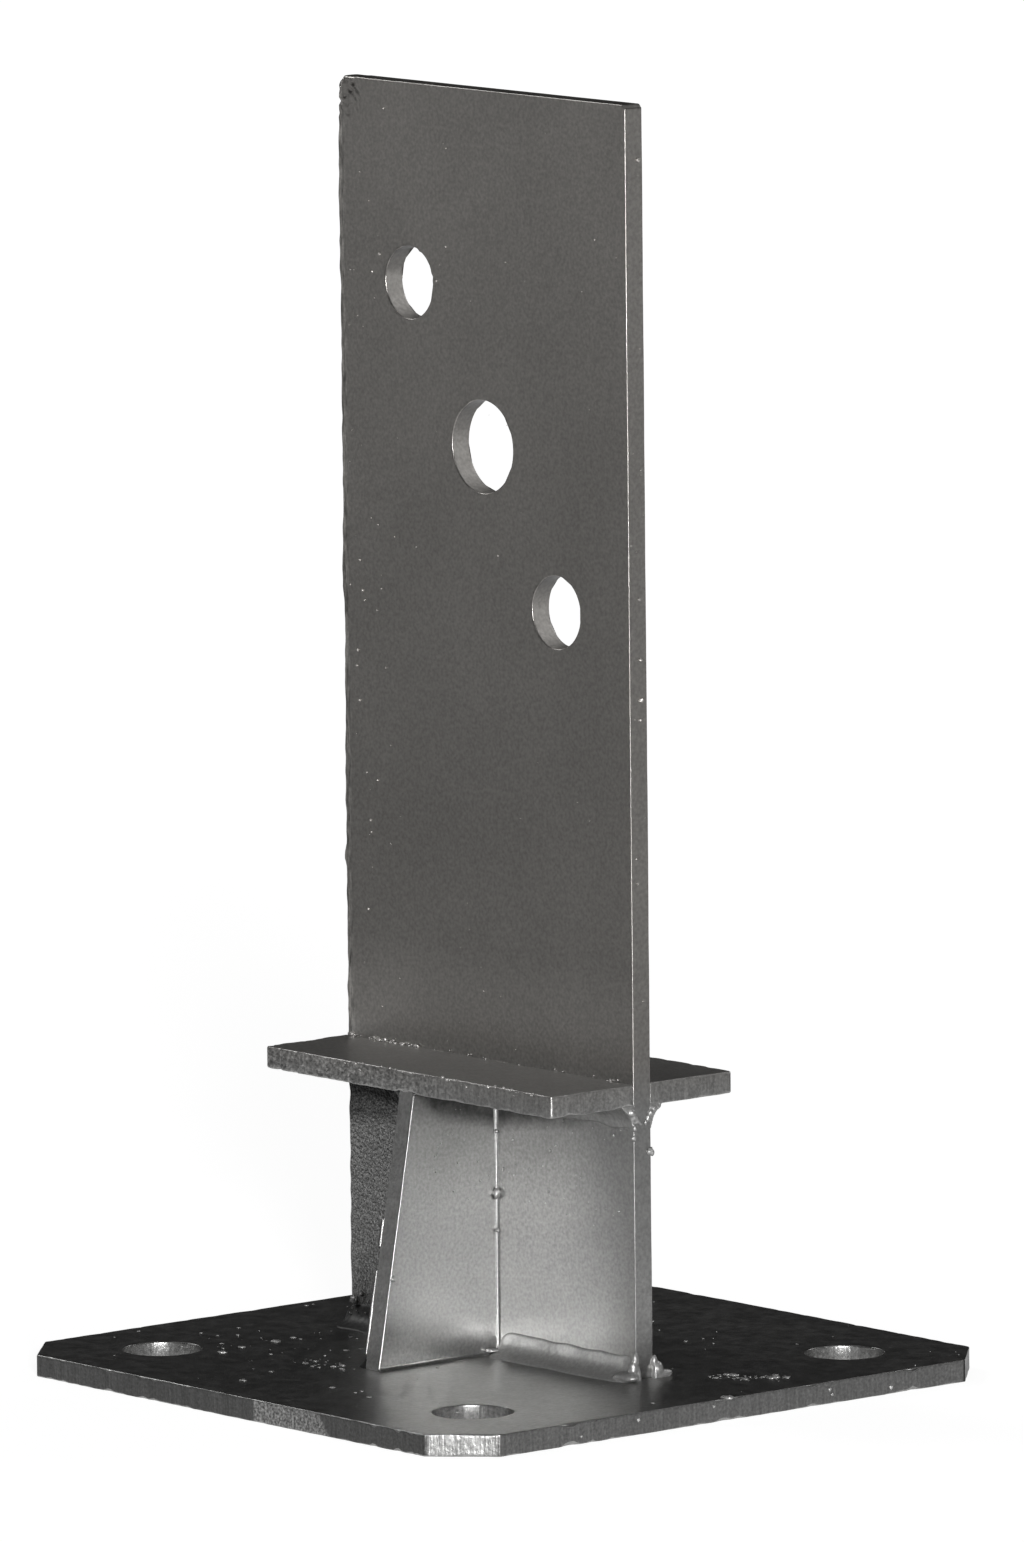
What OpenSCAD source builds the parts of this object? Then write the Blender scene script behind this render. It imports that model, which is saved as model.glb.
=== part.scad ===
// Post base anchor: a welded steel foot that bolts to the ground and holds a slotted timber post.
// The origin is at the middle of the base plate's underside. X runs along the knife plate,
// Y runs out of its faces (the front face looks towards -Y) and Z points up. Sizes in millimetres.

/* [Base plate] */
// Length of the base plate, along the knife plate
base_l = 160; // [136:1:260]
// Width of the base plate, across the knife plate
base_w = 160; // [136:1:260]
// Thickness of the base plate
base_t = 5; // [3:0.5:12]
// Leg of each clipped corner of the base plate
base_clip = 12; // [3:1:20]
// Spacing of the anchor holes along the knife plate
anchor_pitch_l = 109; // [80:1:112]
// Spacing of the anchor holes across the knife plate
anchor_pitch_w = 109; // [104:1:112]
// Diameter of the anchor holes
anchor_hole_d = 18; // [9:0.5:20]

/* [Knife plate] */
// Width of the knife plate, which is the length of the seat too
knife_w = 100; // [80:1:124]
// Height of the knife plate above the base plate
knife_h = 285; // [230:1:400]
// Thickness of the knife plate
knife_t = 5; // [3:0.5:10]
// Place of the knife plate's middle against the middle of the base plate
knife_shift = -1; // [-4:0.5:4]
// Leg of the dressed corner at the top left of the front face
dressed_corner = 2; // [0.5:0.5:8]
// Leg of the nicked corner at the top right of the front face
nicked_corner = 0.8; // [0.2:0.1:8]

/* [Bolt holes] */
// Diameter of the middle hole through the knife plate
main_hole_d = 21; // [9:0.5:28]
// Diameter of the outer two holes through the knife plate
bolt_hole_d = 16.5; // [7:0.5:22]
// Step from hole to hole along the knife plate
bolt_step_x = 25; // [20:1:28]
// Step from hole to hole down the knife plate
bolt_step_z = 35; // [24:1:50]
// Depth of the middle hole's centre below the knife plate's top edge
main_hole_drop = 80; // [64:1:100]

/* [Seat] */
// Width of each half of the seat, out from the knife plate
seat_w = 24; // [16:1:40]
// Thickness of the seat plates
seat_t = 5; // [3:0.5:10]
// Clear height between the base plate and the seat plates
seat_clear = 61.5; // [30:0.5:90]

/* [Gussets] */
// Thickness of the gussets
gusset_t = 5; // [3:0.5:10]
// Length of a gusset's foot on the base plate, out from the knife plate
gusset_foot = 35; // [24:1:50]

/* [Weld beads] */
// Reach of the knife plate's foot beads over the base plate
foot_reach = 6; // [3:0.5:8]
// Height of the knife plate's foot beads
foot_rise = 5.5; // [3:0.5:8]
// Reach of the beads below the seat, out from the knife plate
seat_reach = 3.5; // [2:0.5:8]
// Height of the beads below the seat
seat_drop = 5.5; // [2:0.5:8]
// Leg of the beads along the gussets
gusset_leg = 4.5; // [2:0.5:6]
// How far the crowned face of a bead stands proud of a flat fillet
crown = 0.6; // [0.2:0.1:1]
// Gap between the ends of beads that run towards the same corner
corner_gap = 1; // [0.5:0.5:3]
// How far the foot beads run on past the edge of the knife plate
overrun = 1.5; // [0:0.5:4]

/* [Hidden] */

// Paint on the plates and on the rougher beads
plate_colour = [0.36, 0.35, 0.33];
bead_colour = [0.40, 0.39, 0.37];

// Drills run this far past both faces of a plate
drill_over = 1;
drill_fn = 96;
bead_fn = 64;

// Height of the main hole's centre above the knife plate's foot
main_hole_z = knife_h - main_hole_drop;
// The gussets are welded on their left sides. The beads in the two corners there start this far
// from the corner, so that the upright bead between them runs through
corner_clear = max(gusset_leg, foot_reach, seat_reach) + corner_gap;
// Distance from the middle of the knife plate to the start of the beads along it
right_start = gusset_t / 2;
left_start = gusset_t / 2 + corner_clear;

// Places the cross of plates on top of the base plate
module on_base() {
    translate([knife_shift, 0, base_t]) children();
}

// Mirrors its children along an axis, or leaves them
module flipped(axis, flip) {
    if (flip) mirror(axis) children();
    else children();
}

// Turns a shape drawn on the rear right into the same shape at another corner of the cross
module placed(front, left) {
    on_base() flipped([0, 1, 0], front) flipped([1, 0, 0], left) children();
}

// Stands a profile up: its x becomes the distance out from the wall, its y the height,
// and the extrusion runs along the wall
module along_wall(length) {
    rotate([90, 0, 90]) linear_extrude(length) children();
}

// Rectangle about the origin with clipped corners
module clipped_rectangle(length, width, clip) {
    x = length / 2;
    y = width / 2;
    polygon([
        [x - clip, -y], [x, -y + clip], [x, y - clip], [x - clip, y],
        [-x + clip, y], [-x, y - clip], [-x, -y + clip], [-x + clip, -y]
    ]);
}

// Front view of the knife plate, with both top corners taken off
module knife_outline() {
    x = knife_w / 2;
    polygon([
        [-x, 0], [x, 0],
        [x, knife_h - nicked_corner], [x - nicked_corner, knife_h],
        [-x + dressed_corner, knife_h], [-x, knife_h - dressed_corner]
    ]);
}

// Section of a fillet bead: two flat legs and a face that bows out between their toes
module fillet_section(reach, rise) {
    chord = norm([reach, rise]);
    radius = (chord * chord / 4 + crown * crown) / (2 * crown);
    sink = (radius - crown) / chord;
    intersection() {
        square([reach, rise]);
        translate([reach / 2 - sink * rise, rise / 2 - sink * reach]) circle(radius, $fn = bead_fn);
    }
}

// Rounded end of a bead: its section turned a quarter round about the wall, from +Y to +X
module bead_end(reach, rise) {
    rotate_extrude(angle = 90, $fn = bead_fn) fillet_section(reach, rise);
}

// Fillet bead in the corner between a floor and a wall, from the origin along X. It starts square
// against a plate, or rounded where nothing stands in front of it, and it ends rounded
module fillet_bead(length, reach, rise, free_start) {
    first = free_start ? reach : 0;
    last = length - reach;
    translate([first, 0, 0]) along_wall(last - first) fillet_section(reach, rise);
    translate([last, 0, 0]) bead_end(reach, rise);
    if (free_start) translate([first, 0, 0]) rotate([0, 0, 90]) bead_end(reach, rise);
}

// Half of the seat, flush with both edges of the knife plate
module seat_plate() {
    translate([-knife_w / 2, knife_t / 2, seat_clear]) cube([knife_w, seat_w, seat_t]);
}

// Web under the middle of a seat half, flush with its rim at the top and spread at the foot
module gusset() {
    translate([-gusset_t / 2, knife_t / 2, 0]) along_wall(gusset_t)
        polygon([[0, 0], [gusset_foot, 0], [seat_w, seat_clear], [0, seat_clear]]);
}

// Bead along the knife plate's foot, outward from the gusset
module foot_bead(start, free_start) {
    translate([start, knife_t / 2, 0])
        fillet_bead(knife_w / 2 + overrun - start, foot_reach, foot_rise, free_start);
}

// Bead between the knife plate and the underside of the seat, outward from the gusset
module seat_bead(start, free_start) {
    translate([start, knife_t / 2, seat_clear]) mirror([0, 0, 1])
        fillet_bead(knife_w / 2 - start, seat_reach, seat_drop, free_start);
}

// Bead on the side of a gusset, outward from the knife plate, along whatever lies at height zero
module gusset_bead(length) {
    translate([gusset_t / 2, knife_t / 2, 0]) mirror([1, -1, 0])
        translate([corner_clear, 0, 0])
            fillet_bead(length - corner_clear, gusset_leg, gusset_leg, true);
}

// Upright bead in the corner between a gusset and the knife plate
module upright_bead() {
    translate([gusset_t / 2, knife_t / 2, 0]) linear_extrude(seat_clear)
        fillet_section(gusset_leg, gusset_leg);
}

module base_plate() {
    color(plate_colour) difference() {
        linear_extrude(base_t) clipped_rectangle(base_l, base_w, base_clip);
        for (x = [-1, 1], y = [-1, 1])
            translate([x * anchor_pitch_l / 2, y * anchor_pitch_w / 2, -drill_over])
                cylinder(h = base_t + 2 * drill_over, d = anchor_hole_d, $fn = drill_fn);
    }
}

// The three holes fall from the upper left to the lower right, with the largest in the middle
module knife_plate() {
    color(plate_colour) on_base() rotate([90, 0, 0]) translate([0, 0, -knife_t / 2]) difference() {
        linear_extrude(knife_t) knife_outline();
        for (step = [-1:1])
            translate([step * bolt_step_x, main_hole_z - step * bolt_step_z, -drill_over])
                cylinder(
                    h = knife_t + 2 * drill_over,
                    d = step == 0 ? main_hole_d : bolt_hole_d,
                    $fn = drill_fn
                );
    }
}

module seat_plate_front() {
    color(plate_colour) placed(front = true, left = false) seat_plate();
}

module seat_plate_rear() {
    color(plate_colour) placed(front = false, left = false) seat_plate();
}

module gusset_front() {
    color(plate_colour) placed(front = true, left = false) gusset();
}

module gusset_rear() {
    color(plate_colour) placed(front = false, left = false) gusset();
}

module weld_foot(front, left) {
    color(bead_colour) placed(front, left) foot_bead(left ? left_start : right_start, left);
}

module weld_seat(front, left) {
    color(bead_colour) placed(front, left) seat_bead(left ? left_start : right_start, left);
}

module weld_gusset_foot(front) {
    color(bead_colour) placed(front, left = true) gusset_bead(gusset_foot);
}

module weld_gusset_side(front) {
    color(bead_colour) placed(front, left = true) upright_bead();
}

module weld_gusset_head(front) {
    color(bead_colour) placed(front, left = true) translate([0, 0, seat_clear]) mirror([0, 0, 1])
        gusset_bead(seat_w);
}

base_plate();
knife_plate();
seat_plate_front();
seat_plate_rear();
gusset_front();
gusset_rear();
weld_foot(front = true, left = false);  // weld_foot_front_right
weld_foot(front = true, left = true);  // weld_foot_front_left
weld_foot(front = false, left = false);  // weld_foot_rear_right
weld_foot(front = false, left = true);  // weld_foot_rear_left
weld_seat(front = true, left = false);  // weld_seat_front_right
weld_seat(front = true, left = true);  // weld_seat_front_left
weld_seat(front = false, left = false);  // weld_seat_rear_right
weld_seat(front = false, left = true);  // weld_seat_rear_left
weld_gusset_foot(front = true);  // weld_gusset_foot_front
weld_gusset_foot(front = false);  // weld_gusset_foot_rear
weld_gusset_side(front = true);  // weld_gusset_side_front
weld_gusset_side(front = false);  // weld_gusset_side_rear
weld_gusset_head(front = true);  // weld_gusset_head_front
weld_gusset_head(front = false);  // weld_gusset_head_rear
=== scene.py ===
import math
import random

import bpy
import numpy as np
from mathutils import Matrix, Vector, geometry, noise


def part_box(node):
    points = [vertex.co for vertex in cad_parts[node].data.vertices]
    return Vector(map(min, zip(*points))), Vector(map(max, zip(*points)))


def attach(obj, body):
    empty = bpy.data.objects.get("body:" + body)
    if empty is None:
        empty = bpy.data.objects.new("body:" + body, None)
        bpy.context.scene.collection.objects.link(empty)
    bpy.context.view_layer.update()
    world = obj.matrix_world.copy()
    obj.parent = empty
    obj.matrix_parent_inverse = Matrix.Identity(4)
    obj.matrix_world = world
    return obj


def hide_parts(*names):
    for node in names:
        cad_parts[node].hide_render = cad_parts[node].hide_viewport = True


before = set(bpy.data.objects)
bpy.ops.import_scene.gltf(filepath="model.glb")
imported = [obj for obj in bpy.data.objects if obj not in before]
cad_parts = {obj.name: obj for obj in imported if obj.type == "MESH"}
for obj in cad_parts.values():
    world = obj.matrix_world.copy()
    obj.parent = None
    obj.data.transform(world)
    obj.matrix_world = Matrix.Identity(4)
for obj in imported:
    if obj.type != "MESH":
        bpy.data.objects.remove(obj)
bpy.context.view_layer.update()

# All lengths below are millimetres, in the CAD frame: X along the knife plate's width,
# -Y out of its front face, Z up, the origin under the middle of the base plate.
MM = 0.001
BODY = "root"

# Camera
CAMERA_PLACE = (2717.6, -2276.7, 635.1)
CAMERA_TILT = 81.998
CAMERA_PAN = 49.991
CAMERA_ROLL = -0.574
CAMERA_LENS = 562.0
CAMERA_CLIP = (50.0, 60000.0)
SENSOR_WIDTH = 36.0

# Painted edges of the plates
EDGE_RADIUS = 0.25
HOLD = 0.2
BURY = 0.4
GUSSET_TENON = 2.0
ARC_STEPS = 4
WALL_ROWS = 9
EDGE_STEP = 0.9

# Paint: its tone, and how single cuts of the base and of the seat differ from it; the three cut
# values are painted shade on the base plate's cuts
PAINT_TONE = (0.36, 0.359, 0.354)
UPPER_TINT = (1.02, 0.985, 0.95)
ROUGHNESS_SPREAD = (-0.04, 0.05)
CUT_STRIAE = (1300.0, 1300.0, 110.0)
FRONT_CUT_PAINTED_SHADE = 0.28
SIDE_CUT_PAINTED_SHADE = 0.5
CORNER_CUT_PAINTED_SHADE = 0.12
BASE_RIM_TINT = 0.8
# Each paint's factor on the tone, depth of orange peel, metal and roughness
PAINTS = {
    "painted_upright_face": (1.0, 0.03, 1.0, 0.33),
    "painted_cut_edge": (0.88, 0.03, 0.85, 0.33),
    "painted_torn_edge": (0.88, 0.03, 0.85, 0.33),
    "painted_seat_face": (1.0, 0.03, 0.65, 0.33),
    "painted_mill_edge": (1.0, 0.03, 1.0, 0.33),
    # Painted light: the gussets' slope edges take a lighter copy of the paint
    "painted_lit_slope_edge": (1.75, 0.03, 1.0, 0.33),
    "painted_base_face": (1.0, 0.03, 1.0, 0.33),
    "painted_hole_wall": (1.0, 0.06, 0.4, 0.33),
    "painted_corner": (1.0, 0.03, 1.0, 0.33),
    "painted_spatter": (1.3, 0.05, 0.6, 0.42),
    "painted_weld_bead": (1.0, 0.05, 0.65, 0.43),
    # Painted shade: a darker copy of the bead paint for the beads on the shaded left
    "painted_shaded_bead": (0.2, 0.06, 1.0, 0.5),
}

# Lights: name, azimuth from +X and height above the horizon in degrees, distance,
# the light that reaches the anchor (pi makes a white card white), and the lamp's size
LIGHTS = (
    ("key", -34.0, 12.0, 3900.0, 1.1, 450.0),
    ("low_key", -34.0, 1.5, 2200.0, 1.8, 300.0),
    ("right_fill", 42.0, 10.0, 3000.0, 0.03, 900.0),
    ("left_fill", -140.0, 16.0, 3000.0, 0.035, 900.0),
    ("rear_fill", 192.0, 38.0, 3000.0, 0.45, 900.0),
    ("far_fill", 85.0, 30.0, 3000.0, 0.35, 900.0),
)
LIGHTS_AIM = (0.0, 0.0, 120.0)
# The room's white against height, from the horizon (0) to straight up (1)
WORLD_STOPS = ((0.0, 1.0), (0.015, 0.015), (0.62, 0.015), (0.95, 0.3))
FLOOR_HALF = 12000.0
FLOOR_ALBEDO = 0.4
FLOOR_GLOW_NEAR = 0.86
FLOOR_GLOW_FAR = 0.97
FLOOR_NEAR = 400.0
FLOOR_FAR = 3200.0
# In the paint the floor shows as a white sheet between two dim sides of the room
SHEET_GLOW = 0.62
SHEET_LEFT_SIDE = (0.612, 0.792, 0.0)
SHEET_RIGHT_SIDE = (0.674, 0.740, 0.0)
SHEET_HALF = 150.0
SHEET_FADE = 120.0
FLOOR_LEFT = 0.15
FLOOR_RIGHT = 0.32


def corners_of(node):
    """A node's lowest and highest corners, in millimetres."""
    low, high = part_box(node)
    return np.array(low) / MM, np.array(high) / MM


def finish_piece(obj, nodes):
    """Rides the piece on the anchor, in place of its CAD nodes."""
    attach(obj, BODY)
    if nodes:
        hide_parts(*nodes)
    return obj


def lay_mesh(name, points, faces, materials, face_slots=None):
    """A smooth-shaded object from points in millimetres."""
    mesh = bpy.data.meshes.new(name)
    mesh.from_pydata((np.asarray(points) * MM).tolist(), [], faces)
    for material in materials:
        mesh.materials.append(material)
    mesh.polygons.foreach_set("use_smooth", [True] * len(mesh.polygons))
    if face_slots is not None:
        mesh.polygons.foreach_set("material_index", face_slots)
    mesh.update()
    obj = bpy.data.objects.new(name, mesh)
    bpy.context.scene.collection.objects.link(obj)
    return obj


# Plates: an outline with rounded corners and round holes, swept through the thickness


def rounded_outline(corners, radius, step):
    """Points and outward normals round a convex outline, anticlockwise."""
    points = []
    normals = []
    arcs = []
    corners = np.array(corners, float)
    for before, here, after in zip(np.roll(corners, 1, 0), corners, np.roll(corners, -1, 0)):
        way_in = (here - before) / np.linalg.norm(here - before)
        way_out = (after - here) / np.linalg.norm(after - here)
        turn = math.acos(np.clip(way_in @ way_out, -1, 1))
        outwards = np.array([way_in[1], -way_in[0]])
        centre = here - way_in * radius * math.tan(turn / 2) - radius * outwards
        arcs.append((centre, math.atan2(outwards[1], outwards[0]), turn))
    for i, (centre, first, turn) in enumerate(arcs):
        for k in range(ARC_STEPS + 1):
            angle = first + turn * k / ARC_STEPS
            normal = np.array([math.cos(angle), math.sin(angle)])
            points.append(centre + radius * normal)
            normals.append(normal)
        next_centre, next_first, _ = arcs[(i + 1) % len(arcs)]
        goal = next_centre + radius * np.array([math.cos(next_first), math.sin(next_first)])
        here = points[-1]
        pieces = max(2, int(np.linalg.norm(goal - here) / step))
        for k in range(1, pieces):
            points.append(here + (goal - here) * k / pieces)
            normals.append(normals[-1])
    return np.array(points), np.array(normals)


def hole_outline(x, y, radius, step):
    """Points and normals round a hole, clockwise, the normals towards its middle."""
    count = max(40, int(2 * math.pi * radius / step))
    angles = -2 * math.pi * np.arange(count) / count
    ring = np.stack([np.cos(angles), np.sin(angles)], 1)
    return np.array([x, y]) + radius * ring, -ring


WOBBLE_GAIN = 1.6


def wobble(points, size, depth, seed):
    """Smooth noise at 2-D points, from -depth to depth, with features of that size."""
    return np.array([
        noise.noise(Vector((p[0] / size, p[1] / size, seed))) for p in points
    ]) * depth * WOBBLE_GAIN


def ring_rows(points, normals, radius, thickness, striae):
    """Rows of (u, v, w) round one outline, from the front face to the back face."""
    rows = []
    angles = np.linspace(0, math.pi / 2, ARC_STEPS + 1)
    radius = np.asarray(radius)[:, None]
    inset = radius + HOLD
    rows.append((points - normals * inset, np.zeros(len(points))))
    for angle in angles:
        inset = radius * (1 - math.sin(angle))
        depth = radius[:, 0] * (1 - math.cos(angle))
        rows.append((points - normals * inset, depth))
    for k in range(1, WALL_ROWS):
        share = k / WALL_ROWS
        depth = radius[:, 0] + (thickness - 2 * radius[:, 0]) * share
        push = striae * math.sin(math.pi * share) ** 0.5
        rows.append((points + normals * push[:, None], depth))
    for angle in angles[::-1]:
        inset = radius * (1 - math.sin(angle))
        depth = thickness - radius[:, 0] * (1 - math.cos(angle))
        rows.append((points - normals * inset, depth))
    inset = radius + HOLD
    rows.append((points - normals * inset, np.full(len(points), thickness)))
    return np.array([np.column_stack([p, d]) for p, d in rows])


def inner_points(corners, holes, grid, margin):
    """A staggered grid of points inside a convex outline and outside its holes."""
    corners = np.array(corners, float)
    low = corners.min(0)
    high = corners.max(0)
    rise = grid * math.sqrt(3) / 2
    found = []
    for row, v in enumerate(np.arange(low[1] + margin, high[1] - margin, rise)):
        shift = (row % 2) * grid / 2
        us = np.arange(low[0] + margin + shift, high[0] - margin, grid)
        found.append(np.column_stack([us, np.full(len(us), v)]))
    found = np.concatenate(found)
    keep = np.ones(len(found), bool)
    for a, b in zip(corners, np.roll(corners, -1, 0)):
        side = (b - a) / np.linalg.norm(b - a)
        away = side[0] * (found - a)[:, 1] - side[1] * (found - a)[:, 0]
        keep &= away > margin
    for x, y, radius in holes:
        keep &= np.hypot(found[:, 0] - x, found[:, 1] - y) > radius + margin
    return found[keep]


# Worn edges: the spread of the nicks, and the share of the rounding that is left, with its
# waves as size and depth
NICK_WIDTHS = (0.5, 1.5)
NICK_DEPTHS = (0.3, 1.0)
BROKEN_SHARE = 0.62
BROKEN_WAVES = (4.5, 0.8)
BROKEN_LEAST = 0.25


def nicks(points, radius, seed, number, size, depth):
    """Widens the rounding here and there along an edge, as worn and chipped edges do."""
    rng = random.Random(seed)
    for _ in range(number):
        spot = points[rng.randrange(len(points))]
        width = size * rng.uniform(*NICK_WIDTHS)
        away = np.hypot(points[:, 0] - spot[0], points[:, 1] - spot[1])
        radius = radius + depth * rng.uniform(*NICK_DEPTHS) * np.exp(-(away / width) ** 2)
    return radius


def broken(points, seed):
    """A share of the rounding that comes and goes along an edge."""
    share = BROKEN_SHARE + wobble(points, *BROKEN_WAVES, seed)
    return np.clip(share, BROKEN_LEAST, 1.0)


def in_a_hole(point, holes):
    """Whether a flat point lies in one of the holes."""
    return any(math.hypot(point[0] - x, point[1] - y) < radius for x, y, radius in holes)


# Waves of the rounding as size and depth, the size of the cut's striae, the step of the
# faces' grid, and how far it keeps off the edges
ROUNDING_WAVES = (9.0, 0.07)
STRIAE_SIZE = 0.8
GRID = 2.2
GRID_MARGIN = 0.45


def plate_rings(outline, holes, thickness, edges, striae_depth, seed):
    """Rows of points round a plate's outline and round each of its holes."""
    loops = [outline]
    for x, y, radius in holes:
        loops.append(hole_outline(x, y, radius, EDGE_STEP))
    rings = []
    for points, normals in loops:
        radius = np.full(len(points), EDGE_RADIUS)
        radius += wobble(points, *ROUNDING_WAVES, seed + 3)
        if edges is not None:
            points, radius = edges(points, normals, radius)
        striae = wobble(points, STRIAE_SIZE, striae_depth, seed + 7)
        rings.append(ring_rows(points, normals, radius, thickness, striae))
    return rings


def with_close_ups(points, close_ups):
    """The grid with its finer patches, each given as left, low, right, high and step."""
    for left, low, right, high, step in close_ups:
        us, vs = np.meshgrid(np.arange(left, right, step), np.arange(low, high, step))
        patch = np.column_stack([us.ravel(), vs.ravel()])
        inside = (points[:, 0] > left) & (points[:, 0] < right)
        inside &= (points[:, 1] > low) & (points[:, 1] < high)
        points = np.concatenate([points[~inside], patch])
    return points


def triangulate(loops, inner, holes):
    """Flat points, their triangles, and where each point of the loops has gone."""
    constraint = []
    start = 0
    for loop in loops:
        count = len(loop)
        constraint += [(start + k, start + (k + 1) % count) for k in range(count)]
        start += count
    flat = np.concatenate(loops + [inner])
    result = geometry.delaunay_2d_cdt([Vector(p) for p in flat], constraint, [], 2, 1e-6)
    flat = np.array([tuple(v) for v in result[0]])
    triangles = [t for t in result[2] if not in_a_hole(flat[list(t)].mean(0), holes)]
    new_index = {}
    for new, olds in enumerate(result[3]):
        for old in olds:
            new_index[old] = new
    return flat, triangles, new_index


def tube_faces(rows):
    """The faces between closed rows of point numbers, all of one length."""
    faces = []
    for row, after in zip(rows, rows[1:]):
        for k in range(len(row)):
            n = (k + 1) % len(row)
            faces.append((row[k], row[n], after[n], after[k]))
    return faces


def plate(name, corners, holes, thickness, place, materials, relief, edges=None,
          corner_radius=0.8, striae_depth=0.05, seed=1.0, close_ups=()):
    """A painted plate: rounded edges, cut faces with striae, and gently uneven faces.

    The materials are those of the faces, of the outer cut and, last, of the holes' walls.
    """
    outline = rounded_outline(corners, corner_radius, EDGE_STEP)
    rings = plate_rings(outline, holes, thickness, edges, striae_depth, seed)
    margin = EDGE_RADIUS + HOLD + GRID_MARGIN * GRID
    inner = with_close_ups(inner_points(corners, holes, GRID, margin), close_ups)
    loops = [ring[0, :, :2] for ring in rings]
    flat, triangles, new_index = triangulate(loops, inner, holes)
    lift = relief(flat)
    count = len(flat)
    front = np.column_stack([flat, -lift[:, 0]])
    back = np.column_stack([flat, thickness + lift[:, 1]])
    points = [front, back]
    faces = []
    for triangle in triangles:
        faces.append(tuple(reversed(triangle)))
        faces.append(tuple(i + count for i in triangle))
    slots = [0] * len(faces)
    base = 2 * count
    first = 0
    for loop_number, ring in enumerate(rings):
        length = ring.shape[1]
        bind = [new_index[first + k] for k in range(length)]
        middle = ring[1:-1]
        share = middle[:, :, 2:] / thickness
        bend = lift[bind][None, :, :]
        middle[:, :, 2:] += bend[:, :, 1:] * share - bend[:, :, :1] * (1 - share)
        points.append(middle.reshape(-1, 3))
        index = [bind]
        for r in range(len(middle)):
            index.append([base + r * length + k for k in range(length)])
        index.append([i + count for i in bind])
        faces += tube_faces(index)
        wall_slot = 1 if loop_number == 0 else len(materials) - 1
        for r in range(len(index) - 1):
            on_wall = ARC_STEPS < r < len(index) - 2 - ARC_STEPS
            slots += [wall_slot if on_wall else 0] * length
        base += len(middle) * length
        first += length
    points = np.concatenate(points)
    world = place(points[:, 0], points[:, 1], points[:, 2])
    obj = lay_mesh(name, np.stack(world, 1), faces, materials, slots)
    fix_normals(obj)
    return obj


def fix_normals(obj):
    """Turns all faces outwards."""
    bpy.ops.object.select_all(action="DESELECT")
    obj.select_set(True)
    bpy.context.view_layer.objects.active = obj
    bpy.ops.object.mode_set(mode="EDIT")
    bpy.ops.mesh.select_all(action="SELECT")
    bpy.ops.mesh.normals_make_consistent(inside=False)
    bpy.ops.object.mode_set(mode="OBJECT")


# Sizes that come from the CAD frame

base_low, base_high = corners_of("base_plate")
knife_low, knife_high = corners_of("knife_plate")
seat_low, seat_high = corners_of("seat_plate_front")
gusset_low, gusset_high = corners_of("gusset_front")

BASE_TOP = base_high[2]
BASE_CLIP = 12.0
ANCHOR_PITCH = 109.0
ANCHOR_HOLE = 9.0
KNIFE_HOLES = ((-26.0, 245.0, 8.25), (-1.0, 210.0, 10.5), (24.0, 175.0, 8.25))
KNIFE_NICK = 0.8
KNIFE_DRESSED = 2.0

# Wear of the plates: nicks as number, size and depth; waves as size, depth and seed; and
# the least and greatest rounding of an edge
BASE_NICKS = (90, 1.2, 0.5)
BASE_CHEW = (4.0, 0.6, 15.0)
BASE_CHEW_SINK = 0.3
BASE_OUTLINE_POINTS = 200
WORN_ROUNDING = (0.06, 1.0)
KNIFE_ROUNDING = (0.16, 1.2)
KNIFE_FINE_EDGE = 0.07
HOLE_ROUNDING = (0.2, 0.4)
HOLE_TORN = (1.2, 0.25, 29.0)
HOLE_TORN_FROM = 245.0
SHEAR_WAVES = (11.0, 0.22, 31.0)
SHEAR_RIPPLES = (3.0, 0.12, 33.0)
SHEAR_SINK = 0.15
SHEAR_ROUNDING = 0.4
SHEAR_ROUNDING_WAVES = (5.0, 0.35, 35.0)
SHEAR_BAND = 2.4
SHEAR_DEPTH = 0.12
SHEAR_DRAG = (6.0, 0.3, 37.0)
KNIFE_DENTS = ((112.7, 2.2, 0.75), (252.7, 1.5, 0.3), (178.0, 4.0, 0.3), (165.0, 5.0, -0.3))
GOUGED_CORNER = (9.0, 10.0)
GOUGED_FADE = 3.0
GOUGES = (1.3, 0.5, 39.0)
GOUGE_RANGE = (-0.5, 0.12)
CORNER_WEAR = 0.5
SEAT_NICKS = (80, 1.0, 0.6)
SEAT_WORN_FROM = -30.0
SEAT_WORN_FADE = 8.0
SEAT_WEAR = (3.0, 0.7)
SEAT_WEAR_SINK = 0.35


def uneven(size, depth, seed):
    """A relief for both faces: long gentle waves."""
    def relief(flat):
        front = wobble(flat, size, depth, seed)
        back = wobble(flat, size, depth, seed + 5)
        return np.stack([front, back], 1)
    return relief


def make_base(materials):
    left, front = base_low[0], base_low[1]
    right, rear = base_high[0], base_high[1]
    c = BASE_CLIP
    corners = [
        (left + c, front), (right - c, front), (right, front + c), (right, rear - c),
        (right - c, rear), (left + c, rear), (left, rear - c), (left, front + c),
    ]
    half = ANCHOR_PITCH / 2
    holes = [(sx * half, sy * half, ANCHOR_HOLE) for sx in (-1, 1) for sy in (-1, 1)]

    def edges(points, normals, radius):
        if len(points) > BASE_OUTLINE_POINTS:
            radius = nicks(points, radius, 5, *BASE_NICKS)
            chewed = (points[:, 1] < front + 1) * (points[:, 0] < 0)
            radius = radius + chewed * np.abs(wobble(points, *BASE_CHEW))
            sink = chewed * BASE_CHEW_SINK * (radius - EDGE_RADIUS)
            points = points - normals * sink[:, None]
            radius = radius * broken(points, 27.0)
        return points, np.clip(radius, *WORN_ROUNDING)

    return plate(
        "painted_base_plate", corners, holes, BASE_TOP,
        lambda u, v, w: (u, v, BASE_TOP - w), materials,
        relief=uneven(30.0, 0.015, 2.0), edges=edges, striae_depth=0.05, seed=11.0,
    )


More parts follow.
